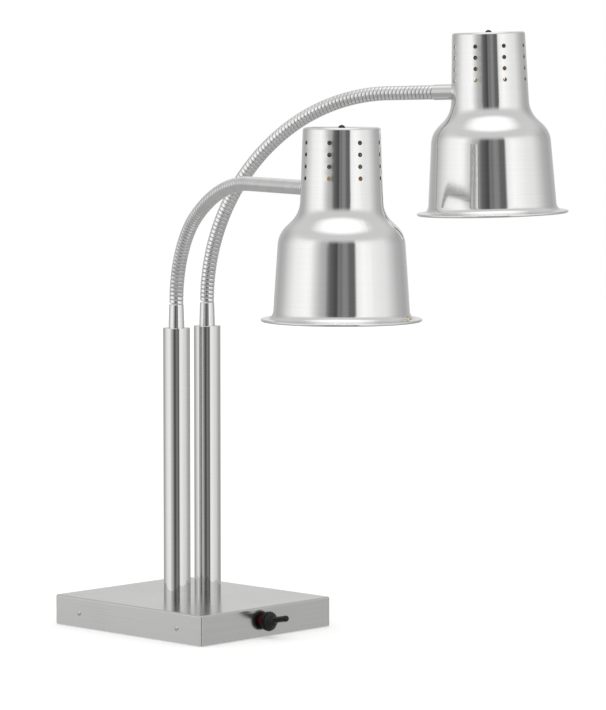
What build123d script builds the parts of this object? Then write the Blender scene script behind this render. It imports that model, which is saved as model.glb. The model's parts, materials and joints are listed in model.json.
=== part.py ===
from build123d import *

import os
from dataclasses import dataclass
from math import asin, cos, degrees, radians, sin, sqrt, tan

# Two-head infrared food warmer: a weighted stainless base, two stand tubes, two
# goosenecks and two spun aluminium shades, each over a reflector bulb.
# Frame: origin on the table at the middle of the base, +Z up, the switch face is -Y.
# All sizes are in millimetres.

os.makedirs("parts", exist_ok=True)

# ---- base ----
BASE_X = 215.0
BASE_Y = 250.0
BASE_TOP = 36.0
SKIRT_Z = 1.0
COVER_SHEET = 1.5
COVER_BEND = 2.0
PLATE_Z = 2.0
PLATE_SHEET = 1.5
PLATE_GAP = 0.4
EAR_WIDTH = 12.0
BALLAST_SIZE = (180.0, 168.0, 14.0)
BALLAST_Y = 22.0
BALLAST_SCREW_PITCH = 120.0
FOOT_RADIUS = 9.0
FOOT_PEG_RADIUS = 1.5
FOOT_INSET = 20.0
SIDE_SCREW_Y = 83.5
SIDE_SCREW_Z = 17.0
SIDE_SCREW_HEAD = 2.9
SIDE_SCREW_SHANK = 1.75

# ---- stand tubes ----
TUBE_SPACING = 51.0
TUBE_RADIUS = 16.0
TUBE_WALL = 1.5
TUBE_TOP = 359.0
END_DISC = 2.0
SPIGOT_LENGTH = 12.0
SPIGOT_CLEARANCE = 0.05
STEM_RADIUS = 6.0
STEM_HOLE = 6.2
STEM_LENGTH = 13.0
WASHER_RADIUS = 12.0
WASHER_THICK = 1.5
STEM_NUT_THICK = 6.0
THREAD_FIT = 0.05

# ---- goosenecks ----
FERRULE_RADIUS = 9.3
FERRULE_TIP_RADIUS = 8.6
FERRULE_LENGTH = 29.0
NECK_RADIUS = 8.25
NECK_BORE = 4.5
NECK_LENGTH = 435.0
SEGMENTS = 6
JOINT_GAP = 2.4
SLEEVE_LENGTH = 25.5
SLEEVE_RADIUS = 8.95
STUB_LENGTH = 15.0

# ---- shades: radii from the axis, depths below the crown ----
SHADE_SHEET = 1.2
CROWN_RADIUS = 42.0
CROWN_EDGE = 3.0
SHADE_NECK_FLARE = 2.1
SHADE_NECK_LENGTH = 77.0
SHADE_HOLLOW_RADIUS = 31.0
SHADE_SLOPE = 46.1
SHADE_SLOPE_LENGTH = 7.7
SHADE_SHOULDER_RADIUS = 30.0
SHADE_BELL_FLARE = 3.9
SHADE_BELL_LENGTH = 72.1
SHADE_LIP_RADIUS = 8.5
SHADE_LIP_TURN = 80.0
RIM_RADIUS = 87.5
BEAD_RADIUS = 1.5
ATTACH_DEPTH = 67.6
VENT_COLUMNS = 8
VENT_ROWS = 4
VENT_RADIUS = 2.5
VENT_FIRST_ROW = 15.9
VENT_PITCH = 12.7

# ---- lampholder and bulb: depths below the crown ----
BRACKET_WIDTH = 36.0
BRACKET_DEPTH = 16.0
BRACKET_HEIGHT = 8.0
BRACKET_SHEET = 1.6
HOLDER_RADIUS = 21.0
HOLDER_BORE = 14.0
HOLDER_END = 46.0
BULB_CAP_RADIUS = 13.2
BULB_CAP_START = 20.0
BULB_CAP_END = 44.0
BULB_NECK_START = 58.0
BULB_NECK_RADIUS = 19.0
BULB_CONE_TURN = 36.0
BULB_EDGE_RADIUS = 24.0
BULB_RADIUS = 62.5
BULB_FACE_RADIUS = 85.0
GLASS_WALL = 1.2

# ---- switch: distances out from the panel ----
SWITCH_X = -4.5
SWITCH_Z = 19.5
SWITCH_BODY = (28.0, 16.0, 18.0)
BUSH_RADIUS = 5.0
BUSH_OUT = 9.0
BUSH_BORE = 3.4
COLLAR_RADIUS = 5.9
COLLAR_LENGTH = 4.5
BOOT_STEPS = ((4.5, 2.1, 11.0), (6.6, 3.0, 11.75), (9.6, 1.8, 9.4), (11.4, 1.6, 7.8))
BOOT_MOUTH = 4.7
TOGGLE_TILT = 11.0
TOGGLE_PIVOT = 4.0
LEVER_RADIUS = 3.6
LEVER_SLEEVE_START = 11.0
LEVER_LENGTH = 35.0

# ---- cable gland ----
GLAND_Z = 18.0
GLAND_THREAD = 8.0
GLAND_BORE = 4.6
GLAND_CABLE = 3.5

PANEL_Y = -BASE_Y / 2
REAR_Y = BASE_Y / 2
PLATE_X = BASE_X - 2 * (COVER_SHEET + PLATE_GAP)
PLATE_Y = BASE_Y - 2 * (COVER_SHEET + PLATE_GAP)
PLATE_TOP = PLATE_Z + PLATE_SHEET
TUBE_BORE = TUBE_RADIUS - TUBE_WALL
SPIGOT_RADIUS = TUBE_BORE - SPIGOT_CLEARANCE
FERRULE_TOP = TUBE_TOP + FERRULE_LENGTH
NECK_END = NECK_LENGTH + SLEEVE_LENGTH

FOOT_SPOTS = [(x, y) for x in (-BASE_X / 2 + FOOT_INSET, BASE_X / 2 - FOOT_INSET)
              for y in (PANEL_Y + FOOT_INSET, REAR_Y - FOOT_INSET)] + [(0.0, 0.0)]
BALLAST_SPOTS = [(x, BALLAST_Y + y) for x in (-BALLAST_SCREW_PITCH / 2, BALLAST_SCREW_PITCH / 2)
                 for y in (-BALLAST_SCREW_PITCH / 2, BALLAST_SCREW_PITCH / 2)]
TUBE_SPOTS = [(-TUBE_SPACING / 2, 0), (TUBE_SPACING / 2, 0)]
SIDE_SPOTS = [(-SIDE_SCREW_Y, SIDE_SCREW_Z), (SIDE_SCREW_Y, SIDE_SCREW_Z)]


def write(piece: BuildPart, node: str) -> None:
    """Label a finished piece and write its STEP file."""
    piece.part.label = node
    export_step(piece.part, f"parts/{node}.step")


def on(place: Plane, local: Plane) -> Plane:
    """A plane given in another plane's own frame."""
    return Plane(place.location * local.location)


def axis_of(place: Plane) -> Axis:
    """The line through a plane's origin, square to it."""
    return Axis(place.origin, place.z_dir)


def shade_neck_radius(depth: float) -> float:
    """Outer radius of a shade's neck at a depth below its crown."""
    return CROWN_RADIUS + (depth - CROWN_EDGE) * tan(radians(SHADE_NECK_FLARE))


# ---------------------------------------------------------------- the neck's line
@dataclass(frozen=True)
class Arm:
    """One stand tube with its gooseneck and head.

    The gooseneck's centreline is a short straight rise, tangent arcs that turn it
    outward, each given as (radius, degrees), and a straight run out to the shade.
    """

    side: str
    tube_x: float
    azimuth: float
    rise: float
    arcs: tuple
    head_roll: float

    @property
    def out(self) -> Vector:
        """Level direction from the tube to the head."""
        turn = radians(self.azimuth)
        return Vector(sin(turn), -cos(turn), 0)

    @property
    def across(self) -> Vector:
        """Level direction square to the arm."""
        return Vector(0, 0, 1).cross(self.out)

    def runs(self) -> list:
        """The centreline as (length, radius) runs, where a radius of 0 is straight."""
        laid = [(self.rise, 0.0)]
        laid += [(radius * radians(turn), radius) for radius, turn in self.arcs]
        laid.append((NECK_END + CROWN_RADIUS - sum(length for length, _ in laid), 0.0))
        return laid

    def station(self, s: float) -> tuple:
        """Reach, height and heading (radians from upright) at length s past the ferrule."""
        reach, height, heading = 0.0, FERRULE_TOP, 0.0
        for length, radius in self.runs():
            step = min(s, length)
            if radius:
                turned = heading + step / radius
                reach += radius * (cos(heading) - cos(turned))
                height += radius * (sin(turned) - sin(heading))
                heading = turned
            else:
                reach += step * sin(heading)
                height += step * cos(heading)
            s -= step
            if s <= 0:
                break
        return reach, height, heading

    def point(self, s: float) -> Vector:
        """Point on the centreline."""
        reach, height, _ = self.station(s)
        return Vector(self.tube_x, 0, height) + self.out * reach

    def plane(self, s: float) -> Plane:
        """Plane square to the centreline, facing the head."""
        heading = self.station(s)[2]
        along = self.out * sin(heading) + Vector(0, 0, cos(heading))
        return Plane(self.point(s), x_dir=self.across, z_dir=along)

    def marks(self, start: float, end: float) -> list:
        """Start, end and each length between them at which the radius changes."""
        found = [start]
        passed = 0.0
        for length, _ in self.runs():
            passed += length
            if start < passed < end:
                found.append(passed)
        return found + [end]

    def head(self) -> Plane:
        """Frame of the shade: origin at the crown, x away from the tube, z up its axis."""
        along = self.plane(NECK_END).z_dir
        axis_point = self.point(NECK_END) + along * shade_neck_radius(ATTACH_DEPTH)
        roll = radians(self.head_roll)
        up = along.cross(self.across) * cos(roll) - self.across * sin(roll)
        return Plane(axis_point, x_dir=along, z_dir=up).offset(ATTACH_DEPTH)


ARMS = (
    Arm("left", -TUBE_SPACING / 2, -19.5, 0.5, ((125.0, 57.0), (262.0, 33.0)), 0.0),
    Arm("right", TUBE_SPACING / 2, 19.7, 0.5, ((252.5, 54.0), (231.0, 34.75)), 1.0),
)


# ---------------------------------------------------------------- fasteners
def dome_screws(node: str, seats: list, head: float, rise: float, shank: float, length: float) -> None:
    """Dome-headed cross-slot screws, one standing on each seat plane."""
    slot = (head * 0.9, head * 0.2)
    with BuildPart() as screws:
        for seat in seats:
            with BuildSketch(on(seat, Plane.XZ)):
                with BuildLine():
                    ThreePointArc((0, rise), (head * 0.72, rise * 0.62), (head, 0))
                    Polyline((head, 0), (shank, 0), (shank, -length), (0, -length), (0, rise))
                make_face()
            revolve(axis=axis_of(seat))
            with BuildSketch(seat.offset(rise * 0.55)):
                Rectangle(*slot)
                Rectangle(*reversed(slot))
            extrude(amount=rise, mode=Mode.SUBTRACT)
    write(screws, node)


def hex_nuts(node: str, seats: list, across_flats: float, bore: float, thick: float) -> None:
    """Plain hexagon nuts, one standing on each seat plane."""
    with BuildPart() as nuts:
        for seat in seats:
            with BuildSketch(seat):
                RegularPolygon(across_flats / 2, 6, major_radius=False)
                Circle(bore, mode=Mode.SUBTRACT)
            extrude(amount=thick)
    write(nuts, node)


def leads(node: str, routes: list, radius: float, bend: float) -> None:
    """Insulated leads, each a tube swept along a route with rounded corners."""
    with BuildPart() as wires:
        for route in routes:
            with BuildLine() as line:
                FilletPolyline(*route, radius=bend)
            with BuildSketch(Plane(line.line @ 0, z_dir=line.line % 0)):
                Circle(radius)
            sweep(path=line.wires()[0])
    write(wires, node)


# ---------------------------------------------------------------- base
def base_cover() -> None:
    """Folded sheet cover, open below, with the holes for what passes through it."""
    through = 3 * COVER_BEND
    with BuildPart() as cover:
        with BuildSketch(Plane.XY.offset(SKIRT_Z)):
            Rectangle(BASE_X, BASE_Y)
        extrude(amount=BASE_TOP - SKIRT_Z)
        fillet(cover.edges().filter_by(Axis.Z), COVER_BEND)
        fillet(cover.faces().sort_by(Axis.Z)[-1].edges(), COVER_BEND)
        offset(amount=-COVER_SHEET, openings=cover.faces().sort_by(Axis.Z)[0])
        with BuildSketch(Plane.XY.offset(BASE_TOP)):
            with Locations(*TUBE_SPOTS):
                Circle(STEM_HOLE)
        extrude(amount=-through, mode=Mode.SUBTRACT)
        with BuildSketch(Plane.XZ.offset(-PANEL_Y)):
            with Locations((SWITCH_X, SWITCH_Z)):
                Circle(BUSH_RADIUS + THREAD_FIT)
        extrude(amount=-through, mode=Mode.SUBTRACT)
        with BuildSketch(Plane.XZ.offset(-REAR_Y)):
            with Locations((0, GLAND_Z)):
                Circle(GLAND_THREAD + THREAD_FIT)
        extrude(amount=through, mode=Mode.SUBTRACT)
        with BuildSketch(Plane.YZ.offset(-BASE_X)):
            with Locations(*SIDE_SPOTS):
                Circle(SIDE_SCREW_SHANK + THREAD_FIT)
        extrude(amount=2 * BASE_X, mode=Mode.SUBTRACT)
    write(cover, "base_cover")


def bottom_plate() -> None:
    """Closing plate with four upturned ears that take the side screws."""
    ear_top = SIDE_SCREW_Z + EAR_WIDTH / 2
    with BuildPart() as plate:
        with BuildSketch(Plane.XY.offset(PLATE_Z)):
            RectangleRounded(PLATE_X, PLATE_Y, COVER_BEND)
        extrude(amount=PLATE_SHEET)
        with BuildSketch(Plane.XY.offset(PLATE_Z)):
            with GridLocations(PLATE_X - PLATE_SHEET, 2 * SIDE_SCREW_Y, 2, 2):
                Rectangle(PLATE_SHEET, EAR_WIDTH)
        extrude(amount=ear_top - PLATE_Z)
        with BuildSketch(Plane.YZ.offset(-BASE_X)):
            with Locations(*SIDE_SPOTS):
                Circle(SIDE_SCREW_SHANK + THREAD_FIT)
        extrude(amount=2 * BASE_X, mode=Mode.SUBTRACT)
        with BuildSketch(Plane.XY.offset(PLATE_Z)):
            with Locations(*FOOT_SPOTS):
                Circle(FOOT_PEG_RADIUS + THREAD_FIT)
            with Locations(*BALLAST_SPOTS):
                Circle(2.2)
        extrude(amount=PLATE_SHEET, mode=Mode.SUBTRACT)
    write(plate, "bottom_plate")


def ballast_plate() -> None:
    """Thick steel plate that keeps the warmer from tipping towards its heads."""
    size_x, size_y, thick = BALLAST_SIZE
    with BuildPart() as ballast:
        with BuildSketch(Plane.XY.offset(PLATE_TOP)):
            with Locations((0, BALLAST_Y)):
                RectangleRounded(size_x, size_y, 6)
            with Locations(*BALLAST_SPOTS):
                Circle(2.05, mode=Mode.SUBTRACT)
        extrude(amount=thick)
        chamfer(ballast.faces().sort_by(Axis.Z)[-1].outer_wire().edges(), 1.0)
    write(ballast, "ballast_plate")


def rubber_feet() -> None:
    """Low feet at the corners and the centre, each with a peg in the bottom plate."""
    with BuildPart() as feet:
        with BuildSketch():
            with Locations(*FOOT_SPOTS):
                Circle(FOOT_RADIUS)
        extrude(amount=PLATE_Z)
        with BuildSketch(Plane.XY.offset(PLATE_Z)):
            with Locations(*FOOT_SPOTS):
                Circle(FOOT_PEG_RADIUS)
        extrude(amount=PLATE_SHEET)
    write(feet, "rubber_feet")


def base_screws() -> None:
    """Side screws of the cover, and the ballast's screws from below."""
    sides = [Plane((side * BASE_X / 2, y, z), x_dir=(0, 1, 0), z_dir=(side, 0, 0))
             for side in (-1, 1) for y, z in SIDE_SPOTS]
    dome_screws("side_screws", sides, SIDE_SCREW_HEAD, 1.6, SIDE_SCREW_SHANK, 6.0)
    below = [Plane((x, y, PLATE_Z), x_dir=(1, 0, 0), z_dir=(0, 0, -1)) for x, y in BALLAST_SPOTS]
    dome_screws("ballast_screws", below, 3.4, 1.5, 2.0, 12.0)


def base_wiring() -> None:
    """Terminal block, earth stud and the leads between them and the switch."""
    back_y = REAR_Y - 12.0
    block_x = 45.0
    lead_x = 5.0
    with BuildPart() as block:
        with BuildSketch(Plane.XY.offset(PLATE_TOP)):
            with Locations((block_x, back_y)):
                RectangleRounded(34, 12, 1)
        extrude(amount=13)
        with BuildSketch(Plane.XY.offset(PLATE_TOP + 13)):
            with Locations((block_x, back_y)):
                with GridLocations(2 * lead_x, 1, 2, 1):
                    Circle(2.2)
        extrude(amount=-5, mode=Mode.SUBTRACT)
    write(block, "terminal_block")
    with BuildPart() as stud:
        with BuildSketch(Plane.XY.offset(PLATE_TOP)):
            with Locations((-block_x, back_y)):
                RegularPolygon(3.5, 6, major_radius=False)
        extrude(amount=3)
        with BuildSketch(Plane.XY.offset(PLATE_TOP + 3)):
            with Locations((-block_x, back_y)):
                Circle(2)
        extrude(amount=9)
    write(stud, "earth_stud")
    clear_z = PLATE_TOP + BALLAST_SIZE[2] + 7
    routes = []
    for x in (-lead_x, lead_x):
        routes.append([(x + SWITCH_X, PANEL_Y + 31, SWITCH_Z), (x, PANEL_Y + 48, clear_z), (x, 60, clear_z + 0.5),
                       (block_x + x, back_y - 20, clear_z), (block_x + x, back_y, clear_z),
                       (block_x + x, back_y, PLATE_TOP + 9)])
    leads("base_leads", routes, 1.3, 5.0)


# ---------------------------------------------------------------- switch
def switch_plane() -> Plane:
    """Plane on the panel's face at the switch, facing out, its y direction up."""
    return Plane((SWITCH_X, PANEL_Y, SWITCH_Z), x_dir=(1, 0, 0), z_dir=(0, -1, 0))


def switch_body() -> None:
    """Switch case behind the panel with its threaded bush through it."""
    width, height, depth = SWITCH_BODY
    panel = switch_plane()
    with BuildPart() as body:
        with BuildSketch(panel.offset(-COVER_SHEET)):
            RectangleRounded(width, height, 1.5)
        extrude(amount=-depth)
        with BuildSketch(panel.offset(-COVER_SHEET)):
            Circle(BUSH_RADIUS)
        extrude(amount=COVER_SHEET + BUSH_OUT)
        with BuildSketch(panel.offset(BUSH_OUT)):
            Circle(BUSH_BORE)
        extrude(amount=-BUSH_OUT - 3, mode=Mode.SUBTRACT)
    write(body, "switch_body")
    with BuildPart() as tabs:
        with BuildSketch(panel.offset(-COVER_SHEET - depth)):
            with GridLocations(12, 8, 2, 2):
                Rectangle(0.8, 5)
        extrude(amount=-8)
    write(tabs, "switch_terminals")


def switch_trim() -> None:
    """Red collar against the panel and the rubber boot's stepped rings in front of it."""
    panel = switch_plane()
    with BuildPart() as collar:
        with BuildSketch(panel):
            Circle(COLLAR_RADIUS)
            Circle(BUSH_RADIUS + THREAD_FIT, mode=Mode.SUBTRACT)
        extrude(amount=COLLAR_LENGTH)
    write(collar, "switch_collar")
    with BuildPart() as boot:
        for start, length, radius in BOOT_STEPS:
            with BuildSketch(panel.offset(start)):
                Circle(radius)
            extrude(amount=length)
        with BuildSketch(panel.offset(COLLAR_LENGTH)):
            Circle(BUSH_RADIUS + THREAD_FIT)
        extrude(amount=20, mode=Mode.SUBTRACT)
    write(boot, "switch_boot")


def toggle_lever() -> None:
    """Lever with its pivot ball and rubber sleeve, in the up position."""
    pivot = switch_plane().offset(TOGGLE_PIVOT)
    lever = pivot.rotated((-TOGGLE_TILT, 0, 0))
    tip_radius = LEVER_RADIUS - 0.2
    foot = -3.5
    with BuildPart() as toggle:
        with BuildSketch(on(lever, Plane.XZ)):
            with BuildLine():
                Polyline((0, LEVER_LENGTH), (0, foot), (2.0, foot), (2.0, LEVER_SLEEVE_START),
                         (LEVER_RADIUS, LEVER_SLEEVE_START), (tip_radius, LEVER_LENGTH - tip_radius))
                JernArc((tip_radius, LEVER_LENGTH - tip_radius), (0, 1), tip_radius, 90)
            make_face()
        revolve(axis=axis_of(lever))
    write(toggle, "toggle_lever")


# ---------------------------------------------------------------- cable gland
def cable_gland() -> None:
    """Empty cable gland in the back of the base: body, locknut, seal and cap."""
    wall = Plane((0, REAR_Y, GLAND_Z), x_dir=(1, 0, 0), z_dir=(0, 1, 0))
    seat = 5.0
    mouth = 13.0
    with BuildPart() as body:
        with BuildSketch(wall.offset(-11)):
            Circle(GLAND_THREAD)
        extrude(amount=11)
        with BuildSketch(wall):
            RegularPolygon(9.5, 6, major_radius=False)
        extrude(amount=seat)
        with BuildSketch(wall.offset(seat)):
            Circle(7)
        extrude(amount=mouth - seat)
        with BuildSketch(wall.offset(-11)):
            Circle(GLAND_BORE)
        extrude(amount=30, mode=Mode.SUBTRACT)
        with BuildSketch(wall.offset(mouth)):
            Circle(5.6)
        extrude(amount=seat - mouth, mode=Mode.SUBTRACT)
    write(body, "gland_body")
    hex_nuts("gland_locknut", [wall.offset(-COVER_SHEET - 4)], 20.0, GLAND_THREAD + THREAD_FIT, 4.0)
    with BuildPart() as seal:
        with BuildSketch(wall.offset(seat)):
            Circle(5.55)
            Circle(GLAND_CABLE, mode=Mode.SUBTRACT)
        extrude(amount=mouth - seat)
    write(seal, "gland_seal")
    with BuildPart() as cap:
        with BuildSketch(wall.offset(seat + 0.5)):
            RegularPolygon(9, 6, major_radius=False)
        extrude(amount=8)
        with BuildSketch(wall.offset(seat + 8.5)):
            Circle(8.4)
        extrude(amount=3.5, taper=25)
        with BuildSketch(wall.offset(seat + 0.5)):
            Circle(7 + THREAD_FIT)
        extrude(amount=mouth - seat - 0.5, mode=Mode.SUBTRACT)
        with BuildSketch(wall.offset(seat)):
            Circle(GLAND_BORE)
        extrude(amount=20, mode=Mode.SUBTRACT)
    write(cap, "gland_cap")


# ---------------------------------------------------------------- stand tubes
def stand_tube(arm: Arm) -> None:
    """Polished tube between its foot disc and its top disc."""
    low = BASE_TOP + END_DISC
    with BuildPart() as tube:
        with BuildSketch(Plane.XY.offset(low)):
            with Locations((arm.tube_x, 0)):
                Circle(TUBE_RADIUS)
                Circle(TUBE_BORE, mode=Mode.SUBTRACT)
        extrude(amount=TUBE_TOP - END_DISC - low)
    write(tube, f"{arm.side}_stand_tube")


def tube_foot(arm: Arm) -> None:
    """Foot disc with a spigot up the tube and a hollow stem down through the cover."""
    steps = (
        (BASE_TOP - STEM_LENGTH, STEM_LENGTH, STEM_RADIUS),
        (BASE_TOP, END_DISC, TUBE_RADIUS),
        (BASE_TOP + END_DISC, SPIGOT_LENGTH, SPIGOT_RADIUS),
    )
    with BuildPart() as foot:
        for low, height, radius in steps:
            with BuildSketch(Plane.XY.offset(low)):
                with Locations((arm.tube_x, 0)):
                    Circle(radius)
            extrude(amount=height)
        with BuildSketch(Plane.XY.offset(BASE_TOP - STEM_LENGTH)):
            with Locations((arm.tube_x, 0)):
                Circle(NECK_BORE)
        extrude(amount=STEM_LENGTH + END_DISC + SPIGOT_LENGTH, mode=Mode.SUBTRACT)
    write(foot, f"{arm.side}_tube_foot")


def tube_cap(arm: Arm) -> None:
    """Top disc and spigot, bored for the ferrule's stub."""
    low = TUBE_TOP - END_DISC
    with BuildPart() as cap:
        with BuildSketch(Plane.XY.offset(low)):
            with Locations((arm.tube_x, 0)):
                Circle(TUBE_RADIUS)
        extrude(amount=END_DISC)
        chamfer(cap.edges().sort_by(Axis.Z)[-1], 0.4)
        with BuildSketch(Plane.XY.offset(low)):
            with Locations((arm.tube_x, 0)):
                Circle(SPIGOT_RADIUS)
        extrude(amount=-SPIGOT_LENGTH)
        with BuildSketch(Plane.XY.offset(TUBE_TOP)):
            with Locations((arm.tube_x, 0)):
                Circle(STEM_RADIUS + THREAD_FIT)
        extrude(amount=-SPIGOT_LENGTH - END_DISC, mode=Mode.SUBTRACT)
    write(cap, f"{arm.side}_tube_cap")


def tube_fasteners() -> None:
    """Washers and nuts under the cover, and the nuts under the tubes' caps."""
    under_cover = BASE_TOP - COVER_SHEET
    under_washer = under_cover - WASHER_THICK
    under_cap = TUBE_TOP - END_DISC - SPIGOT_LENGTH
    with BuildPart() as washers:
        with BuildSketch(Plane.XY.offset(under_washer)):
            with Locations(*TUBE_SPOTS):
                Circle(WASHER_RADIUS)
                Circle(STEM_HOLE, mode=Mode.SUBTRACT)
        extrude(amount=WASHER_THICK)
    write(washers, "tube_washers")
    seats = [Plane((x, y, under_washer - STEM_NUT_THICK)) for x, y in TUBE_SPOTS]
    hex_nuts("tube_nuts", seats, 19.0, STEM_RADIUS + THREAD_FIT, STEM_NUT_THICK)
    seats = [Plane((x, y, under_cap - 4)) for x, y in TUBE_SPOTS]
    hex_nuts("ferrule_nuts", seats, 17.0, STEM_RADIUS + THREAD_FIT, 4.0)


# ---------------------------------------------------------------- goosenecks
def ferrule(arm: Arm) -> None:
    """Turned ferrule at the gooseneck's foot, its stub through the tube's cap."""
    top = FERRULE_LENGTH - JOINT_GAP / 2
    stub = -END_DISC - SPIGOT_LENGTH - 5
    seat = Plane((arm.tube_x, 0, TUBE_TOP))
    with BuildPart() as turned:
        with BuildSketch(on(seat, Plane.XZ)):
            with BuildLine():
                Polyline(
                    (NECK_BORE, stub),
                    (STEM_RADIUS, stub),
                    (STEM_RADIUS, 0),
                    (FERRULE_RADIUS, 0),
                    (FERRULE_RADIUS, 4),
                    (FERRULE_TIP_RADIUS, top - 0.6),
                    (FERRULE_TIP_RADIUS - 0.6, top),
                    (NECK_BORE, top),
                    close=True,
                )
            make_face()
        revolve(axis=axis_of(seat))
    write(turned, f"{arm.side}_ferrule")


def neck_segment(arm: Arm, number: int) -> None:
    """One rigid length of the gooseneck, bent as the neck is bent at rest."""
    pitch = NECK_LENGTH / SEGMENTS
    start = (number - 1) * pitch + JOINT_GAP / 2
    end = number * pitch - JOINT_GAP / 2
    marks = arm.marks(start, end)
    with BuildPart() as segment:
        with BuildLine() as route:
            for low, high in zip(marks, marks[1:]):
                if arm.station(high)[2] - arm.station(low)[2] < 1e-6:
                    Line(arm.point(low), arm.point(high))
                else:
                    ThreePointArc(arm.point(low), arm.point((low + high) / 2), arm.point(high))
        with BuildSketch(arm.plane(start)):
            Circle(NECK_RADIUS)
            Circle(NECK_BORE, mode=Mode.SUBTRACT)
        sweep(path=route.wires()[0])
    write(segment, f"{arm.side}_neck_{number}")


def head_sleeve(arm: Arm) -> None:
    """Smooth sleeve at the neck's end, saddled to the shade, with a stub through its wall."""
    head = arm.head()
    low, high = ATTACH_DEPTH - 2 * SLEEVE_RADIUS, ATTACH_DEPTH + 2 * SLEEVE_RADIUS
    saddle = ((0, -low), (shade_neck_radius(low) + THREAD_FIT, -low),
              (shade_neck_radius(high) + THREAD_FIT, -high), (0, -high))
    with BuildPart() as sleeve:
        with BuildSketch(arm.plane(NECK_LENGTH + JOINT_GAP / 2)):
            Circle(SLEEVE_RADIUS)
        extrude(amount=SLEEVE_LENGTH)
        with BuildSketch(on(head, Plane.XZ)):
            with BuildLine():
                Polyline(*saddle, close=True)
            make_face()
        revolve(axis=axis_of(head), mode=Mode.SUBTRACT)
        with BuildSketch(arm.plane(NECK_END - 4)):
            Circle(STEM_RADIUS)
        extrude(amount=STUB_LENGTH + 4)
        with BuildSketch(arm.plane(NECK_LENGTH)):
            Circle(NECK_BORE)
        extrude(amount=SLEEVE_LENGTH + STUB_LENGTH, mode=Mode.SUBTRACT)
    write(sleeve, f"{arm.side}_head_sleeve")


def sleeve_nut(arm: Arm) -> None:
    """Nut inside the shade that holds the sleeve's stub."""
    inner_wall = shade_neck_radius(ATTACH_DEPTH) - SHADE_SHEET
    corner = 17 / sqrt(3)
    seat_radius = sqrt(inner_wall ** 2 - corner ** 2) - 0.2
    seat = arm.plane(NECK_END + shade_neck_radius(ATTACH_DEPTH) - seat_radius)
    hex_nuts(f"{arm.side}_sleeve_nut", [seat], 17.0, STEM_RADIUS + THREAD_FIT, 4.0)


# ---------------------------------------------------------------- heads
def shade(arm: Arm) -> None:
    """Spun shade: flat crown, neck with vent holes, shoulder, bell and rolled rim."""
    head = arm.head()
    rows_middle = VENT_FIRST_ROW + VENT_PITCH * (VENT_ROWS - 1) / 2
    bead_x = RIM_RADIUS - BEAD_RADIUS
    with BuildPart() as spun:
        with BuildSketch(on(head, Plane.XZ)):
            with BuildLine() as wall:
                crown = Line((0, 0), (CROWN_RADIUS - CROWN_EDGE, 0))
                edge = JernArc(crown @ 1, crown % 1, CROWN_EDGE, SHADE_NECK_FLARE - 90)
                neck = Line(edge @ 1, edge @ 1 + (edge % 1) * SHADE_NECK_LENGTH)
                hollow = JernArc(neck @ 1, neck % 1, SHADE_HOLLOW_RADIUS, SHADE_SLOPE - SHADE_NECK_FLARE)
                slope = Line(hollow @ 1, hollow @ 1 + (hollow % 1) * SHADE_SLOPE_LENGTH)
                shoulder = JernArc(slope @ 1, slope % 1, SHADE_SHOULDER_RADIUS,
                                   SHADE_BELL_FLARE - SHADE_SLOPE)
                bell = Line(shoulder @ 1, shoulder @ 1 + (shoulder % 1) * SHADE_BELL_LENGTH)
                lip = JernArc(bell @ 1, bell % 1, SHADE_LIP_RADIUS, SHADE_LIP_TURN)
                flange = Line(lip @ 1, (bead_x, (lip @ 1).Y - 0.4))
                offset(amount=SHADE_SHEET, side=Side.RIGHT, closed=True)
            make_face()
            with Locations((bead_x, (flange @ 1).Y - BEAD_RADIUS + 0.3)):
                Circle(BEAD_RADIUS)
        revolve(axis=axis_of(head))
        for column in range(VENT_COLUMNS):
            turn = radians(column * 360 / VENT_COLUMNS)
            outward = Plane((0, 0, -rows_middle), x_dir=(0, 0, 1), z_dir=(cos(turn), sin(turn), 0))
            with BuildSketch(on(head, outward)):
                with GridLocations(VENT_PITCH, 1, VENT_ROWS, 1):
                    Circle(VENT_RADIUS)
            extrude(amount=CROWN_RADIUS + 10, mode=Mode.SUBTRACT)
        with BuildSketch(on(head, Plane((0, 0, -ATTACH_DEPTH), x_dir=(0, 0, 1), z_dir=(-1, 0, 0)))):
            Circle(STEM_HOLE)
        extrude(amount=CROWN_RADIUS + 10, mode=Mode.SUBTRACT)
        with BuildSketch(head):
            Circle(2.1)
        extrude(amount=-2 * SHADE_SHEET, mode=Mode.SUBTRACT)
    write(spun, f"{arm.side}_shade")


def holder_bracket(arm: Arm) -> None:
    """Folded strip loop between the crown and the lampholder, and its screw from above."""
    head = arm.head()
    middle = SHADE_SHEET + BRACKET_HEIGHT / 2
    with BuildPart() as bracket:
        with BuildSketch(on(head, Plane.XZ.offset(-BRACKET_DEPTH / 2))):
            with Locations((0, -middle)):
                RectangleRounded(BRACKET_WIDTH, BRACKET_HEIGHT, 2.0)
                RectangleRounded(BRACKET_WIDTH - 2 * BRACKET_SHEET, BRACKET_HEIGHT - 2 * BRACKET_SHEET,
                                 0.8, mode=Mode.SUBTRACT)
        extrude(amount=BRACKET_DEPTH)
        with BuildSketch(head):
            Circle(2.05)
        extrude(amount=-middle, mode=Mode.SUBTRACT)
    write(bracket, f"{arm.side}_holder_bracket")
    dome_screws(f"{arm.side}_crown_screw", [head], 3.8, 2.6, 2.0, 5.0)


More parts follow.
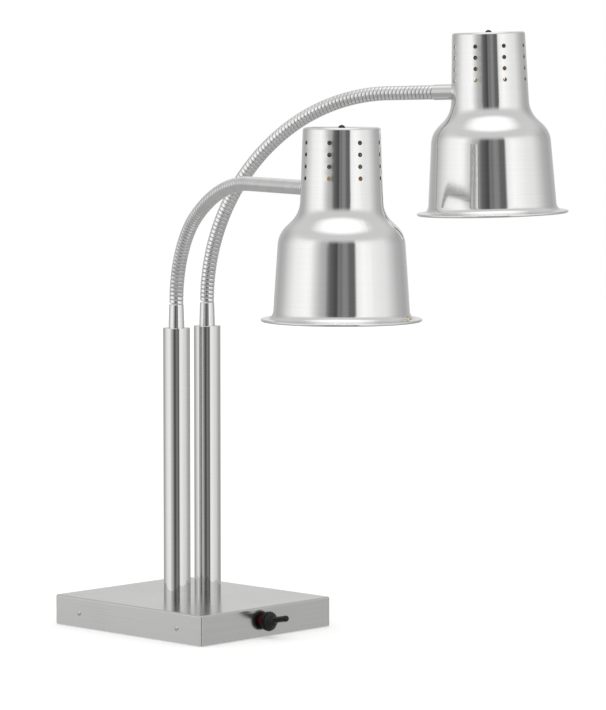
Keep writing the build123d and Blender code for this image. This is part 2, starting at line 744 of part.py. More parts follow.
def lampholder(arm: Arm) -> None:
    """Ceramic screw lampholder, bored for the bulb's cap, and its two leads."""
    head = arm.head()
    start = SHADE_SHEET + BRACKET_HEIGHT
    with BuildPart() as holder:
        with BuildSketch(head.offset(-start)):
            Circle(HOLDER_RADIUS)
        extrude(amount=start - HOLDER_END)
        chamfer(holder.edges(), 1.5)
        with BuildSketch(head.offset(-HOLDER_END)):
            Circle(HOLDER_BORE)
        extrude(amount=HOLDER_END - BULB_CAP_START + 3, mode=Mode.SUBTRACT)
    write(holder, f"{arm.side}_lampholder")
    stub_end = shade_neck_radius(ATTACH_DEPTH) - STUB_LENGTH
    routes = []
    for y in (-2.0, 2.0):
        local = [(-stub_end - 6, y, -ATTACH_DEPTH), (-stub_end + 4, y, -ATTACH_DEPTH),
                 (-stub_end + 4, 3 * y, -HOLDER_END + 16), (-HOLDER_RADIUS - 0.6, 3 * y, -HOLDER_END + 22)]
        routes.append([head.from_local_coords(Vector(*spot)) for spot in local])
    leads(f"{arm.side}_lamp_leads", routes, 1.2, 3.0)


def bulb(arm: Arm) -> None:
    """Reflector bulb: hollow glass with a domed face, and its screw cap."""
    head = arm.head()
    # The cone is tangent to the rounded edge, and the edge to the domed face.
    edge_centre = BULB_RADIUS - BULB_EDGE_RADIUS
    face_turn = degrees(asin(edge_centre / (BULB_FACE_RADIUS - BULB_EDGE_RADIUS)))
    inside_cap = BULB_CAP_RADIUS - 0.8
    with BuildPart() as glass:
        with BuildSketch(on(head, Plane.XZ)):
            with BuildLine():
                seal = Line((inside_cap, 5 - BULB_CAP_END), (inside_cap, -HOLDER_END - 0.5))
                swell = Line(seal @ 1, (BULB_NECK_RADIUS, -BULB_NECK_START))
                neck = Line(swell @ 1, swell @ 1 + Vector(0.6, -24))
                hollow = JernArc(neck @ 1, neck % 1, 28, BULB_CONE_TURN)
                lean = (hollow % 1).get_angle(Vector(0, -1, 0))
                cone_end = edge_centre + BULB_EDGE_RADIUS * cos(radians(lean))
                run = (cone_end - (hollow @ 1).X) / sin(radians(lean))
                cone = Line(hollow @ 1, hollow @ 1 + (hollow % 1) * run)
                rim = JernArc(cone @ 1, cone % 1, BULB_EDGE_RADIUS, face_turn - lean - 90)
                JernArc(rim @ 1, rim % 1, BULB_FACE_RADIUS, -face_turn)
                offset(amount=GLASS_WALL, side=Side.RIGHT, closed=True)
            make_face()
            with Locations((BULB_RADIUS, -BULB_RADIUS)):
                Rectangle(2 * BULB_RADIUS, 8 * BULB_RADIUS, mode=Mode.INTERSECT)
        revolve(axis=axis_of(head))
    write(glass, f"{arm.side}_bulb_glass")
    with BuildPart() as cap:
        with BuildSketch(on(head, Plane.XZ)):
            with BuildLine():
                Polyline(
                    (0, 1.5 - BULB_CAP_START),
                    (4, 1.5 - BULB_CAP_START),
                    (5, -BULB_CAP_START),
                    (BULB_CAP_RADIUS - 3, -BULB_CAP_START),
                    (BULB_CAP_RADIUS, -BULB_CAP_START - 3),
                    (BULB_CAP_RADIUS, -BULB_CAP_END),
                    (BULB_CAP_RADIUS - 0.7, -BULB_CAP_END),
                    (BULB_CAP_RADIUS - 0.7, -BULB_CAP_START - 5),
                    (0, -BULB_CAP_START - 5),
                    close=True,
                )
            make_face()
        revolve(axis=axis_of(head))
    write(cap, f"{arm.side}_bulb_cap")


base_cover()
bottom_plate()
ballast_plate()
rubber_feet()
base_screws()
base_wiring()
switch_body()
switch_trim()
toggle_lever()
cable_gland()
tube_fasteners()
for arm in ARMS:
    stand_tube(arm)
    tube_foot(arm)
    tube_cap(arm)
    ferrule(arm)
    for number in range(1, SEGMENTS + 1):
        neck_segment(arm, number)
    head_sleeve(arm)
    sleeve_nut(arm)
    shade(arm)
    holder_bracket(arm)
    lampholder(arm)
    bulb(arm)
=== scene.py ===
"""Looks for a two-head infrared food warmer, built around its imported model.

Metres throughout, in the model's own frame: the origin is on the table at the middle
of the base, +Z is up and the switch face is -Y.
"""

import json
import logging
from dataclasses import dataclass
from enum import Enum
from math import cos, exp, pi, radians, sin

import bmesh
import bpy
from mathutils import Matrix, Vector

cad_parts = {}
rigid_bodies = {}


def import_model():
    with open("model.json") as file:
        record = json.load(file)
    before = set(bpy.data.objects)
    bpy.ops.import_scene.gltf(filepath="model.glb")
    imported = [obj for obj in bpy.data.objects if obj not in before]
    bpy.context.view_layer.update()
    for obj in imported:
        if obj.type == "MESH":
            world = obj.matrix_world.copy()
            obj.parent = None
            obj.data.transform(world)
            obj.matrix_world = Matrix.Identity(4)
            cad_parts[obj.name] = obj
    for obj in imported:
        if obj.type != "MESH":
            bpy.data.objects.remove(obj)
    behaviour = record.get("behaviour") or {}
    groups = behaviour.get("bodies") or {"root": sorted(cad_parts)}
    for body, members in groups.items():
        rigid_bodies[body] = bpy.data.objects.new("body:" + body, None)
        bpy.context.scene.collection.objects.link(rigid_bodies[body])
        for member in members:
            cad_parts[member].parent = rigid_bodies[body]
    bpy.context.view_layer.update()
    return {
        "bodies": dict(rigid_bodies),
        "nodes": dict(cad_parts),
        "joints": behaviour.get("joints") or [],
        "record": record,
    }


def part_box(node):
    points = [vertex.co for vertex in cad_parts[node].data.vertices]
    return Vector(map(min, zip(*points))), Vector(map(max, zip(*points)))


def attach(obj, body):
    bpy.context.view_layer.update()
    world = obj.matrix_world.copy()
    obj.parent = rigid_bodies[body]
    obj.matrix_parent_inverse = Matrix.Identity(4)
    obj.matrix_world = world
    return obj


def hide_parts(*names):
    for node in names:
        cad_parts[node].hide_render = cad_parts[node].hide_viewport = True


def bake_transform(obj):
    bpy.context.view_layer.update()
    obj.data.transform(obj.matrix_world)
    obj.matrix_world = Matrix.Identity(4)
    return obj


LOG = logging.getLogger("food_warmer")
MM = 0.001
CREASE = radians(35.0)
MERGE = 0.01 * MM
HELIX_MERGE = 0.02 * MM
DEPTH_ATTRIBUTE = "groove_depth"

Colour = tuple[float, float, float]


# ---------------------------------------------------------------- node helpers
class Nodes:
    """A node tree with short calls for the nodes that the finishes share."""

    octave_falloff = 0.55

    def __init__(self, tree: bpy.types.NodeTree) -> None:
        """Keep the tree.

        Args:
            tree: the node tree to add to.
        """
        self.tree = tree

    def add(self, kind: str, **values: object) -> bpy.types.Node:
        """Add a node and set its properties.

        Args:
            kind: the node's type name.
            **values: properties of the node.

        Returns:
            The new node.
        """
        node = self.tree.nodes.new(kind)
        for name, value in values.items():
            setattr(node, name, value)
        return node

    def link(self, source: bpy.types.NodeSocket, target: bpy.types.NodeSocket) -> None:
        """Join an output to an input."""
        self.tree.links.new(source, target)

    def feed(self, target: bpy.types.NodeSocket, value: object) -> None:
        """Link a socket or set a plain value on an input."""
        if isinstance(value, bpy.types.NodeSocket):
            self.link(value, target)
        else:
            target.default_value = value

    def math(self, operation: str, first: object, second: object) -> bpy.types.NodeSocket:
        """A math node's result."""
        node = self.add("ShaderNodeMath", operation=operation)
        self.feed(node.inputs[0], first)
        self.feed(node.inputs[1], second)
        return node.outputs[0]

    def span(self, value: object, low: float, high: float, start: float = 0.0,
             end: float = 1.0) -> bpy.types.NodeSocket:
        """A smooth step of value from low..high to start..end."""
        node = self.add("ShaderNodeMapRange", interpolation_type="SMOOTHSTEP")
        self.feed(node.inputs[0], value)
        for index, amount in enumerate((low, high, start, end), start=1):
            node.inputs[index].default_value = amount
        return node.outputs[0]

    def mix(self, amount: object, first: object, second: object) -> bpy.types.NodeSocket:
        """A colour between first and second."""
        node = self.add("ShaderNodeMix", data_type="RGBA")
        self.feed(node.inputs[0], amount)
        self.feed(node.inputs[6], first if not isinstance(first, tuple) else (*first, 1.0))
        self.feed(node.inputs[7], second if not isinstance(second, tuple) else (*second, 1.0))
        return node.outputs[2]

    def place(self, stretch: Colour = (1.0, 1.0, 1.0)) -> bpy.types.NodeSocket:
        """Object coordinates, scaled along each axis."""
        coordinates = self.add("ShaderNodeTexCoord")
        mapping = self.add("ShaderNodeMapping")
        self.link(coordinates.outputs["Object"], mapping.inputs["Vector"])
        mapping.inputs["Scale"].default_value = stretch
        return mapping.outputs["Vector"]

    def noise(self, vector: bpy.types.NodeSocket, scale: float, detail: float) -> bpy.types.NodeSocket:
        """A noise texture's factor."""
        node = self.add("ShaderNodeTexNoise")
        self.link(vector, node.inputs["Vector"])
        node.inputs["Scale"].default_value = scale
        node.inputs["Detail"].default_value = detail
        node.inputs["Roughness"].default_value = self.octave_falloff
        return node.outputs[0]

    def bump(self, height: bpy.types.NodeSocket, strength: float, distance: float) -> bpy.types.NodeSocket:
        """A bumped normal."""
        node = self.add("ShaderNodeBump")
        node.inputs["Strength"].default_value = strength
        node.inputs["Distance"].default_value = distance
        self.link(height, node.inputs["Height"])
        return node.outputs[0]


# ---------------------------------------------------------------- finishes
class Grain(Enum):
    """The direction in which a metal was worked."""

    SHEET = "lines along X on top, level lines on the sides"
    SPUN = "rings round the upright axis"
    CAST = "no direction"


@dataclass(frozen=True)
class MetalFinish:
    """Bare or plated metal with its grain and smudges."""

    name: str
    colour: Colour
    roughness: float
    grain: Grain
    grain_depth: float = 0.15
    variation: float = 0.08
    anisotropy: float = 0.0
    bump: float = 0.05

    def grain_factor(self, nodes: Nodes) -> bpy.types.NodeSocket:
        """The grain's pattern, from 0 to 1.

        Args:
            nodes: the material's nodes.

        Returns:
            The pattern's output.
        """
        if self.grain is Grain.SPUN:
            return nodes.noise(nodes.place((6.0, 6.0, 1500.0)), 1.0, 4.0)
        if self.grain is Grain.CAST:
            return nodes.noise(nodes.place(), 260.0, 6.0)
        sides = nodes.noise(nodes.place((7.0, 7.0, 1700.0)), 1.0, 4.0)
        top = nodes.noise(nodes.place((7.0, 1700.0, 7.0)), 1.0, 4.0)
        normal = nodes.add("ShaderNodeNewGeometry").outputs["Normal"]
        parts = nodes.add("ShaderNodeSeparateXYZ")
        nodes.link(normal, parts.inputs[0])
        facing_up = nodes.math("GREATER_THAN", parts.outputs[2], 0.7)
        blend = nodes.add("ShaderNodeMix", data_type="FLOAT")
        nodes.feed(blend.inputs[0], facing_up)
        nodes.feed(blend.inputs[2], sides)
        nodes.feed(blend.inputs[3], top)
        return blend.outputs[0]

    def material(self) -> bpy.types.Material:
        """Build the finish.

        Returns:
            The new material.
        """
        made = bpy.data.materials.new(self.name)
        made.use_nodes = True
        nodes = Nodes(made.node_tree)
        shader = made.node_tree.nodes["Principled BSDF"]
        shader.inputs["Metallic"].default_value = 1.0
        shader.inputs["Anisotropic"].default_value = self.anisotropy
        grain = self.grain_factor(nodes)
        smudge = nodes.noise(nodes.place(), 14.0, 4.0)
        dark = tuple(c * (1.0 - self.variation) for c in self.colour)
        bright = tuple(min(1.0, c * (1.0 + self.variation)) for c in self.colour)
        nodes.link(nodes.mix(nodes.span(grain, 0.3, 0.7), dark, bright), shader.inputs["Base Color"])
        low = self.roughness * (1.0 - self.grain_depth)
        high = self.roughness * (1.0 + self.grain_depth)
        rough = nodes.span(grain, 0.3, 0.7, low, high)
        rough = nodes.math("ADD", rough, nodes.span(smudge, 0.4, 0.75, 0.0, 0.25 * self.roughness))
        nodes.link(rough, shader.inputs["Roughness"])
        nodes.link(nodes.bump(grain, self.bump, 0.0001), shader.inputs["Normal"])
        if self.anisotropy:
            tangent = nodes.add("ShaderNodeTangent", direction_type="RADIAL", axis="Z")
            nodes.link(tangent.outputs[0], shader.inputs["Tangent"])
            shader.inputs["Anisotropic Rotation"].default_value = 0.25
        return made


@dataclass(frozen=True)
class SoftFinish:
    """Rubber, plastic, ceramic or woven sleeve: dull or glazed, with a fine surface."""

    name: str
    colour: Colour
    roughness: float
    texture_scale: float = 900.0
    bump: float = 0.15
    variation: float = 0.12
    coat: float = 0.0
    specular: float = 0.35

    def material(self) -> bpy.types.Material:
        """Build the finish.

        Returns:
            The new material.
        """
        made = bpy.data.materials.new(self.name)
        made.use_nodes = True
        nodes = Nodes(made.node_tree)
        shader = made.node_tree.nodes["Principled BSDF"]
        shader.inputs["Specular IOR Level"].default_value = self.specular
        shader.inputs["Coat Weight"].default_value = self.coat
        shader.inputs["Coat Roughness"].default_value = 0.08
        fine = nodes.noise(nodes.place(), self.texture_scale, 4.0)
        broad = nodes.noise(nodes.place(), 60.0, 3.0)
        dark = tuple(c * (1.0 - self.variation) for c in self.colour)
        bright = tuple(min(1.0, c * (1.0 + self.variation)) for c in self.colour)
        nodes.link(nodes.mix(broad, dark, bright), shader.inputs["Base Color"])
        nodes.link(nodes.span(fine, 0.3, 0.7, self.roughness * 0.85, self.roughness * 1.15),
                   shader.inputs["Roughness"])
        nodes.link(nodes.bump(fine, self.bump, 0.0002), shader.inputs["Normal"])
        return made


@dataclass(frozen=True)
class HoseFinish:
    """Bright plated gooseneck, with painted shade darkening its grooves."""

    name: str
    colour: Colour
    groove_shade_colour: Colour
    roughness: float

    def material(self) -> bpy.types.Material:
        """Build the finish; the mesh's depth attribute is 1 at the bottom of a groove, where the colour is
        darkened as painted shade.

        Returns:
            The new material.
        """
        made = bpy.data.materials.new(self.name)
        made.use_nodes = True
        nodes = Nodes(made.node_tree)
        shader = made.node_tree.nodes["Principled BSDF"]
        shader.inputs["Metallic"].default_value = 1.0
        depth = nodes.add("ShaderNodeAttribute", attribute_name=DEPTH_ATTRIBUTE).outputs["Fac"]
        fine = nodes.noise(nodes.place(), 700.0, 4.0)
        worn = nodes.noise(nodes.place(), 45.0, 4.0)
        land = nodes.mix(nodes.span(worn, 0.35, 0.75), self.colour, tuple(c * 0.9 for c in self.colour))
        # painted shade: the colour darkens towards the groove shade colour as the groove gets deeper
        nodes.link(nodes.mix(nodes.span(depth, 0.25, 0.9), land, self.groove_shade_colour),
                   shader.inputs["Base Color"])
        rough = nodes.span(fine, 0.3, 0.7, self.roughness * 0.8, self.roughness * 1.25)
        nodes.link(nodes.math("ADD", rough, nodes.math("MULTIPLY", depth, 0.2)),
                   shader.inputs["Roughness"])
        nodes.link(nodes.bump(fine, 0.04, 0.0001), shader.inputs["Normal"])
        return made


@dataclass(frozen=True)
class BulbFinish:
    """Gold-tinted reflector glass, lit from within."""

    name: str
    colour: Colour
    glow: Colour
    strength: float

    def material(self) -> bpy.types.Material:
        """Build the finish.

        Returns:
            The new material.
        """
        made = bpy.data.materials.new(self.name)
        made.use_nodes = True
        nodes = Nodes(made.node_tree)
        shader = made.node_tree.nodes["Principled BSDF"]
        shader.inputs["Coat Weight"].default_value = 0.6
        shader.inputs["Coat Roughness"].default_value = 0.05
        pearl = nodes.noise(nodes.place(), 500.0, 5.0)
        cloud = nodes.noise(nodes.place(), 28.0, 4.0)
        deep = tuple(c * 0.75 for c in self.colour)
        nodes.link(nodes.mix(cloud, self.colour, deep), shader.inputs["Base Color"])
        nodes.link(nodes.mix(nodes.span(cloud, 0.3, 0.7), self.glow, tuple(c * 0.7 for c in self.glow)),
                   shader.inputs["Emission Color"])
        shader.inputs["Emission Strength"].default_value = self.strength
        nodes.link(nodes.span(pearl, 0.3, 0.7, 0.18, 0.3), shader.inputs["Roughness"])
        nodes.link(nodes.bump(pearl, 0.12, 0.0002), shader.inputs["Normal"])
        return made


SHEET_STEEL = MetalFinish("brushed_sheet", (0.60, 0.60, 0.59), 0.20, Grain.SHEET, 0.2, 0.05, bump=0.04)
TUBE_STEEL = MetalFinish("polished_tube", (0.70, 0.70, 0.69), 0.05, Grain.SPUN, 0.2, 0.02, bump=0.004)
FERRULE_PLATE = MetalFinish("turned_ferrule", (0.76, 0.76, 0.755), 0.08, Grain.SPUN, 0.2, 0.03, bump=0.006)
SPUN_METAL = MetalFinish("spun_shade", (0.82, 0.82, 0.815), 0.075, Grain.SPUN, 0.25, 0.02, 0.6, 0.008)
ZINC_PLATE = MetalFinish("zinc_plate", (0.55, 0.56, 0.58), 0.34, Grain.CAST, 0.3, 0.12)
MILL_STEEL = MetalFinish("mill_steel", (0.13, 0.13, 0.14), 0.55, Grain.CAST, 0.3, 0.2)
BLACKENED = MetalFinish("blackened_steel", (0.06, 0.06, 0.06), 0.4, Grain.CAST, 0.2, 0.1)
SCREW_PLATE = MetalFinish("screw_plate", (0.72, 0.72, 0.71), 0.16, Grain.CAST, 0.2, 0.06)
BRASS_METAL = MetalFinish("brass_metal", (0.70, 0.50, 0.20), 0.28, Grain.CAST, 0.2, 0.1)
CAP_METAL = MetalFinish("bulb_cap_metal", (0.70, 0.70, 0.68), 0.26, Grain.SPUN, 0.2, 0.08)
RUBBER = SoftFinish("black_rubber", (0.007, 0.008, 0.008), 0.30, 1200.0, 0.10)
MOULDED_BLACK = SoftFinish("moulded_black", (0.02, 0.02, 0.022), 0.5)
MOULDED_WHITE = SoftFinish("moulded_white", (0.72, 0.72, 0.68), 0.45)
COLLAR_RED = SoftFinish("collar_red", (0.30, 0.012, 0.03), 0.3, coat=0.3)
CERAMIC = SoftFinish("glazed_ceramic", (0.80, 0.78, 0.72), 0.25, 300.0, 0.08, coat=0.5)
SLEEVING = SoftFinish("woven_sleeving", (0.66, 0.62, 0.53), 0.8, 2400.0, 0.5)
# the second colour is painted shade for the grooves
HOSE_PLATE = HoseFinish("hose_plate", (0.86, 0.86, 0.855), (0.12, 0.12, 0.12), 0.12)
BULB_GOLD = BulbFinish("gold_glass", (0.92, 0.74, 0.40), (1.0, 0.74, 0.38), 0.28)


# ---------------------------------------------------------------- studio
@dataclass(frozen=True)
class Studio:
    """Pale floor, white background, a painted ring of soft boxes and flags, and the camera."""

    eye: Colour = (-2.9945, -3.0700, 0.6744)
    heading: Colour = (0.71763, 0.69167, -0.08126)
    lens: float = 182.96
    floor_radius: float = 6.0

    def camera(self) -> None:
        """Place the camera."""
        data = bpy.data.cameras.new("camera")
        data.lens = self.lens
        camera = bpy.data.objects.new("camera", data)
        bpy.context.collection.objects.link(camera)
        camera.location = self.eye
        camera.rotation_euler = Vector(self.heading).to_track_quat("-Z", "Y").to_euler()
        data.clip_end = 100.0
        bpy.context.scene.camera = camera

    def floor(self) -> None:
        """A round pale floor."""
        mesh = bpy.data.meshes.new("floor")
        shape = bmesh.new()
        bmesh.ops.create_circle(shape, cap_ends=True, segments=96, radius=self.floor_radius)
        shape.to_mesh(mesh)
        shape.free()
        floor = bpy.data.objects.new("floor", mesh)
        bpy.context.collection.objects.link(floor)
        made = bpy.data.materials.new("pale_floor")
        made.use_nodes = True
        shader = made.node_tree.nodes["Principled BSDF"]
        shader.inputs["Base Color"].default_value = (0.90, 0.90, 0.90, 1.0)
        shader.inputs["Roughness"].default_value = 0.9
        shader.inputs["Specular IOR Level"].default_value = 0.0
        shader.inputs["Emission Color"].default_value = (1.0, 1.0, 1.0, 1.0)
        shader.inputs["Emission Strength"].default_value = 0.35
        mesh.materials.append(made)
        floor.visible_glossy = False

    def sky(self) -> None:
        """Light the scene from all round: the ring at eye level, a ceiling and a dim foreground."""
        world = bpy.data.worlds.new("studio")
        world.use_nodes = True
        bpy.context.scene.world = world
        tree = world.node_tree
        tree.nodes.clear()
        nodes = Nodes(tree)
        direction = nodes.add("ShaderNodeTexCoord").outputs["Generated"]
        front = Vector((-self.heading[0], -self.heading[1], 0.0)).normalized()
        right = Vector((0.0, 0.0, 1.0)).cross(front)
        along = nodes.add("ShaderNodeVectorMath", operation="DOT_PRODUCT")
        across = nodes.add("ShaderNodeVectorMath", operation="DOT_PRODUCT")
        for node, axis in ((along, front), (across, right)):
            nodes.link(direction, node.inputs[0])
            node.inputs[1].default_value = axis
        bearing = nodes.math("ARCTAN2", across.outputs["Value"], along.outputs["Value"])
        turn = nodes.math("DIVIDE", nodes.math("ADD", bearing, pi), 2 * pi)
        ring = nodes.add("ShaderNodeValToRGB")
        nodes.link(turn, ring.inputs[0])
        self.paint_ring(ring.color_ramp)
        parts = nodes.add("ShaderNodeSeparateXYZ")
        nodes.link(direction, parts.inputs[0])
        rise = parts.outputs[2]
        wall = nodes.span(rise, 0.28, 0.66, 1.0, 0.0)
        studio = nodes.mix(wall, (0.70, 0.70, 0.70), ring.outputs[0])
        studio = nodes.mix(nodes.span(rise, 0.80, 1.0), studio, (1.35, 1.35, 1.35))
        studio = nodes.mix(nodes.span(rise, -0.22, -0.13), (0.44, 0.44, 0.44), studio)
        seen = nodes.add("ShaderNodeLightPath").outputs["Is Camera Ray"]
        colour = nodes.mix(seen, studio, (1.0, 1.0, 1.0))
        light = nodes.add("ShaderNodeBackground")
        nodes.link(colour, light.inputs["Color"])
        nodes.link(light.outputs[0], nodes.add("ShaderNodeOutputWorld").inputs["Surface"])

    def paint_ring(self, ramp: bpy.types.ColorRamp) -> None:
        """Set the brightness round the ring, by bearing from the camera's side.

        Args:
            ramp: the colour ramp, 0 and 1 behind the object and 0.5 at the camera.
        """
        stops = (
            (-180, 0.80), (-158, 0.55), (-138, 0.46), (-122, 0.56), (-105, 0.82), (-90, 1.02),
            (-64, 1.14), (-57, 1.08), (-47, 0.78), (-38, 0.56), (-29, 0.46), (-24, 0.22),
            (-20, 0.14), (-9, 0.07), (-6, 0.22), (-1, 0.19), (3, 0.28), (9, 0.26), (13, 0.15),
            (22, 0.14), (26, 1.00), (38, 1.15), (52, 1.06), (66, 0.96), (82, 0.90), (97, 0.70),
            (112, 0.52), (132, 0.44), (158, 0.55), (180, 0.80))
        for bearing, level in stops:
            place = (bearing + 180.0) / 360.0
            if bearing in (-180, 180):
                stop = ramp.elements[0 if bearing < 0 else -1]
                stop.position = place
            else:
                stop = ramp.elements.new(place)
            stop.color = (level, level, level, 1.0)

    def build(self) -> None:
        """Make the whole studio."""
        bpy.context.scene.view_settings.view_transform = "Standard"
        self.camera()
        self.floor()
        self.sky()


# ---------------------------------------------------------------- mesh helpers
def new_piece(name: str, shape: bmesh.types.BMesh, finish: bpy.types.Material,
              crease: float = 0.0) -> bpy.types.Object:
    """Turn a bmesh into an object at the origin with one material.

    Args:
        name: the piece's name.
        shape: the mesh, freed here.
        finish: its material.
        crease: edges that turn by more than this angle are shaded sharp; 0 for none.

    Returns:
        The new object.
    """
    mesh = bpy.data.meshes.new(name)
    for face in shape.faces:
        face.smooth = True
    shape.to_mesh(mesh)
    shape.free()
    if crease:
        mesh.set_sharp_from_angle(angle=crease)
    mesh.materials.append(finish)
    piece = bpy.data.objects.new(name, mesh)
    bpy.context.collection.objects.link(piece)
    LOG.info("%s: %d faces", name, len(mesh.polygons))
    return piece


def smoothstep(value: float) -> float:
    """A smooth rise from 0 to 1 for value from 0 to 1."""
    value = min(1.0, max(0.0, value))
    return value * value * (3.0 - 2.0 * value)


# ---------------------------------------------------------------- goosenecks
@dataclass(frozen=True)
class Hose:
    """The ribbed gooseneck of one arm, skinned from joint to joint.

    The centreline is a short rise, tangent arcs of (radius, degrees) and a straight
    run, as the model has it.
    """

    side: str
    rise: float
    arcs: tuple
    length: float = 435.0 * MM
    segments: int = 6
    turns: int = 15
    first_turns: int = 8
    radius: float = 8.3 * MM
    groove: float = 0.8 * MM
    crown: float = 0.09 * MM
    groove_width: float = 0.32 * MM
    profile_steps: int = 12
    ring_steps: int = 28
    bend_reach: float = 30.0 * MM
    end: float = 437.5 * MM
    end_replaces: tuple = ()
    stub_bore: float = 4.5 * MM
    stub_radius: float = 6.0 * MM
    stub_overlap: float = 2.0 * MM
    stub_reach: float = 14.0 * MM
    stub_steps: int = 48

    def pitch(self) -> float:
        """Length of one turn of the hose's wire."""
        return self.length / (self.segments * self.turns)

    def station(self, s: float) -> tuple[float, float, float]:
        """Reach, height and heading on the centreline.

        Args:
            s: length past the top of the ferrule.

        Returns:
            Reach and height from the ferrule's top, and the angle from upright.
        """
        reach, height, heading = 0.0, min(s, 0.0), 0.0
        s = max(s, 0.0)
        runs = [(self.rise, 0.0), *((radius * radians(turn), radius) for radius, turn in self.arcs)]
        for length, radius in (*runs, (10.0, 0.0)):
            step = min(s, length)
            if radius:
                turned = heading + step / radius
                reach += radius * (cos(heading) - cos(turned))
                height += radius * (sin(turned) - sin(heading))
                heading = turned
            else:
                reach += step * sin(heading)
                height += step * cos(heading)
            s -= step
        return reach, height, heading

    def rib(self, part: float) -> float:
        """Radius of the hose at a part, 0 to 1, of one turn's length."""
        from_groove = min(part, 1.0 - part) * self.pitch()
        hollow = self.groove * exp(-((from_groove / self.groove_width) ** 2))
        return self.radius - self.crown * (2.0 * part - 1.0) ** 2 - hollow

    def straight_skin(self, turns: int, start: float) -> bmesh.types.BMesh:
        """A straight run of ribbed hose along Z.

        Args:
            turns: how many turns of the wire it holds.
            start: its lowest height.

        Returns:
            The open tube as a bmesh.
        """
        shape = bmesh.new()
        pitch = self.pitch()
        points = []
        for i in range(self.profile_steps + 1):
            radius = self.rib(i / self.profile_steps)
            points.append(shape.verts.new((radius, 0.0, start + pitch * i / self.profile_steps)))
        edges = [shape.edges.new(pair) for pair in zip(points, points[1:])]
        bmesh.ops.spin(shape, geom=[*points, *edges], cent=(0, 0, 0), axis=(0, 0, 1),
                       dvec=(0, 0, pitch / self.ring_steps), angle=2 * pi * turns,
                       steps=self.ring_steps * turns,
                       use_merge=False, use_duplicate=False)
        bmesh.ops.remove_doubles(shape, verts=shape.verts, dist=HELIX_MERGE)
        bmesh.ops.recalc_face_normals(shape, faces=shape.faces)
        return shape

    def lay(self, shape: bmesh.types.BMesh, foot: Vector, out: Vector) -> None:
        """Bend a straight skin along the arm's centreline and note each groove's depth.

        Args:
            shape: the skin along Z, its height the length past the ferrule.
            foot: the top of the ferrule.
            out: the arm's level direction.
        """
        depth = shape.verts.layers.float.new(DEPTH_ATTRIBUTE)
        up = Vector((0, 0, 1))
        across = up.cross(out)
        for vert in shape.verts:
            x, y, s = vert.co
            below = self.radius - (x * x + y * y) ** 0.5
            vert[depth] = min(1.0, below / self.groove)
            reach, height, heading = self.station(s)
            normal = out * cos(heading) - up * sin(heading)
            vert.co = foot + out * reach + up * height + across * x + normal * y

    def build(self, frame: dict, finish: bpy.types.Material) -> None:
        """Make every skin of the arm, each laid across one joint.

        Args:
            frame: the loaded model.
            finish: the hose's material.
        """
        joints = [j for j in frame["record"]["behaviour"]["joints"] if j["name"].startswith(f"{self.side}_")]
        foot = Vector(joints[0]["pos_m"])
        far = Vector(joints[-1]["pos_m"])
        out = Vector((far.x - foot.x, far.y - foot.y, 0)).normalized()
        between = self.length / self.segments
        for index, joint in enumerate(joints):
            first, last = index == 0, index == len(joints) - 1
            start = (index - 0.5) * between
            turns = self.turns
            if first:
                turns = self.first_turns
                start = 0.5 * between - turns * self.pitch()
            elif last:
                turns = int((self.end - start) / self.pitch() + 0.5)
            shape = self.straight_skin(turns, start)
            self.lay(shape, foot, out)
            skin = new_piece(f"{self.side}_hose_{index + 1}", shape, finish)
            heading = self.station(index * between)[2]
            nodes = [f"{self.side}_neck_{n}" for n in (index, index + 1) if 1 <= n <= self.segments]
            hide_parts(*nodes, *(self.end_replaces if last else ()))
            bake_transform(skin)
            if last and self.end_replaces:
                self.stub(foot, out, finish, joint["child"])

    def stub(self, foot: Vector, out: Vector, finish: bpy.types.Material, body: str) -> None:
        """Make a plain stub, without thread, that enters the shade, for an arm whose sleeve is hidden.

        Args:
            foot: the top of the ferrule.
            out: the arm's level direction.
            finish: the stub's material.
            body: the body that carries it.
        """
        shape = bmesh.new()
        low, high = self.end - self.stub_overlap, self.end + self.stub_reach
        wall = ((self.stub_bore, low), (self.stub_radius, low), (self.stub_radius, high),
                (self.stub_bore, high), (self.stub_bore, low))
        points = [shape.verts.new((r, 0.0, z)) for r, z in wall]
        edges = [shape.edges.new(pair) for pair in zip(points, points[1:])]
        bmesh.ops.spin(shape, geom=[*points, *edges], cent=(0, 0, 0), axis=(0, 0, 1), dvec=(0, 0, 0),
                       angle=2 * pi, steps=self.stub_steps, use_merge=True, use_duplicate=False)
        bmesh.ops.remove_doubles(shape, verts=shape.verts, dist=MERGE)
        bmesh.ops.recalc_face_normals(shape, faces=shape.faces)
        self.lay(shape, foot, out)
        piece = new_piece(f"{self.side}_head_stub", shape, finish, CREASE)
        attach(piece, body)


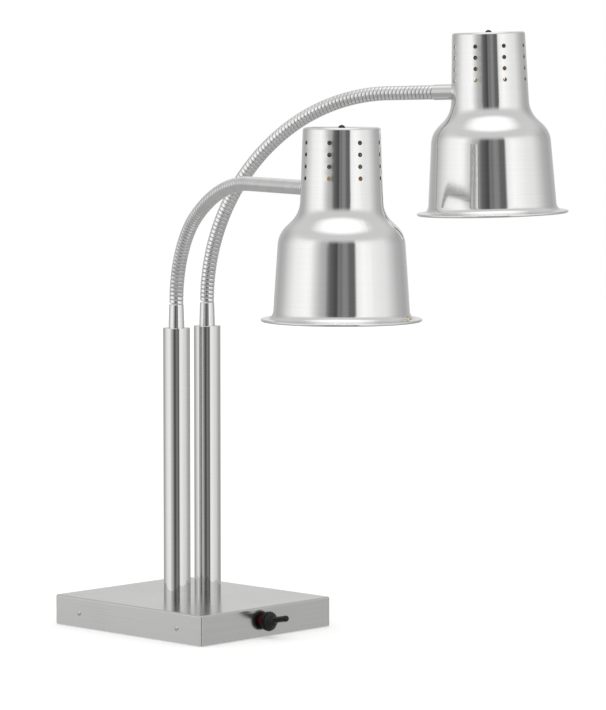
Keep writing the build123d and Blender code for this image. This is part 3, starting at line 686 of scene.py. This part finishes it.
# ---------------------------------------------------------------- switch
@dataclass(frozen=True)
class SwitchBoot:
    """One-piece rubber boot: ribbed skirt, stepped dome and the lever's sleeve.

    Heights are measured out from the panel; the sleeve leans up with the lever.
    """

    centre: Vector
    pivot: Vector
    tilt: float = radians(11.0)
    steps: int = 72
    lean_start: float = 12.0 * MM
    lean_end: float = 19.0 * MM
    tip: float = 39.05 * MM
    flute_from: float = 11.5 * MM
    flute_depth: float = 0.018
    flute_waves: float = 9.0
    outline: tuple = (
        (5.2, 4.6), (10.6, 4.6), (11.2, 5.0), (11.2, 6.1), (10.5, 6.4), (10.2, 6.9), (10.5, 7.2),
        (11.5, 7.4), (11.75, 7.8), (11.75, 8.7), (11.5, 9.0), (10.1, 9.3), (9.9, 9.9), (10.1, 10.2),
        (10.9, 10.4), (10.8, 11.1), (10.2, 11.6), (8.8, 12.1), (8.5, 12.6), (8.7, 13.0), (8.2, 13.7),
        (7.0, 14.3), (6.4, 14.6), (6.2, 15.2), (6.4, 15.6), (6.1, 16.4), (5.3, 16.9), (4.6, 17.1),
        (4.1, 18.0), (3.8, 19.5), (3.6, 24.0), (3.55, 33.0), (3.75, 34.0), (3.7, 36.2), (3.2, 37.8),
        (2.2, 38.7), (0.9, 39.0))

    def build(self, finish: bpy.types.Material) -> None:
        """Spin the boot and lean its sleeve about the lever's pivot.

        Args:
            finish: the rubber.
        """
        shape = bmesh.new()
        points = [shape.verts.new((r * MM, 0.0, h * MM)) for r, h in self.outline]
        points.append(shape.verts.new((0.0, 0.0, self.tip)))
        edges = [shape.edges.new(pair) for pair in zip(points, points[1:])]
        bmesh.ops.spin(shape, geom=[*points, *edges], cent=(0, 0, 0), axis=(0, 0, 1), dvec=(0, 0, 0),
                       angle=2 * pi, steps=self.steps, use_merge=True, use_duplicate=False)
        bmesh.ops.remove_doubles(shape, verts=shape.verts, dist=MERGE)
        self.flute(shape)
        turn = Matrix.Rotation(radians(90.0), 4, "X")
        bmesh.ops.transform(shape, matrix=turn, verts=shape.verts)
        bmesh.ops.translate(shape, vec=self.centre, verts=shape.verts)
        bmesh.ops.recalc_face_normals(shape, faces=shape.faces)
        lean = self.lean_end - self.lean_start
        for vert in shape.verts:
            out = self.centre.y - vert.co.y
            amount = smoothstep((out - self.lean_start) / lean) * self.tilt
            vert.co = self.pivot + Matrix.Rotation(-amount, 3, "X") @ (vert.co - self.pivot)
        boot = new_piece("switch_boot_skin", shape, finish, CREASE)
        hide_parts("switch_boot", "toggle_lever")
        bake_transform(boot)

    def flute(self, shape: bmesh.types.BMesh) -> None:
        """Press shallow grip flutes into the widest ring."""
        for vert in shape.verts:
            radius = (vert.co.x ** 2 + vert.co.y ** 2) ** 0.5
            if radius > self.flute_from:
                turn = vert.co.xy.angle_signed(Vector((1, 0)))
                press = 1.0 - self.flute_depth * (1.0 - abs(cos(turn * self.flute_waves)))
                vert.co.x *= press
                vert.co.y *= press


# ---------------------------------------------------------------- dressing the model's own parts
DRESS = {
    "brushed_stainless": SHEET_STEEL,
    "polished_stainless": TUBE_STEEL,
    "neck_chrome": FERRULE_PLATE,
    "spun_aluminium": SPUN_METAL,
    "zinc_steel": ZINC_PLATE,
    "ballast_steel": MILL_STEEL,
    "bright_screws": SCREW_PLATE,
    "blackened_steel": BLACKENED,
    "brass": BRASS_METAL,
    "bulb_cap": CAP_METAL,
    "black_rubber": RUBBER,
    "black_plastic": MOULDED_BLACK,
    "white_plastic": MOULDED_WHITE,
    "red_plastic": COLLAR_RED,
    "ceramic": CERAMIC,
    "lead_insulation": SLEEVING,
    "bulb_glass": BULB_GOLD,
}


def dress(frame: dict) -> dict[str, bpy.types.Material]:
    """Give every part of the model its finish, by its material slot.

    Args:
        frame: the loaded model.

    Returns:
        The materials by slot.
    """
    made = {slot: finish.material() for slot, finish in DRESS.items()}
    for row in frame["record"]["subparts"]:
        part = frame["nodes"][row["node"]]
        if not part.material_slots:
            part.data.materials.append(None)
        for slot in part.material_slots:
            slot.material = made[row["material_slot"]]
        LOG.info("%s dressed as %s", row["node"], row["material_slot"])
    return made


def main() -> None:
    """Build the studio and the looks."""
    logging.basicConfig(level=logging.INFO, format="%(message)s")
    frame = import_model()
    Studio().build()
    made = dress(frame)
    hose = HOSE_PLATE.material()
    Hose("left", 0.5 * MM, ((125.0 * MM, 57.0), (262.0 * MM, 33.0)), end=461.4 * MM,
         end_replaces=("left_head_sleeve",)).build(frame, hose)
    Hose("right", 0.5 * MM, ((252.5 * MM, 54.0), (231.0 * MM, 34.75))).build(frame, hose)
    toggle = next(j for j in frame["record"]["behaviour"]["joints"] if j["name"] == "toggle")
    low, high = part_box("switch_collar")
    centre = Vector(((low[0] + high[0]) / 2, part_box("base_cover")[0][1], (low[2] + high[2]) / 2))
    SwitchBoot(centre, Vector(toggle["pos_m"])).build(made["black_rubber"])


if __name__ == "__main__":
    main()
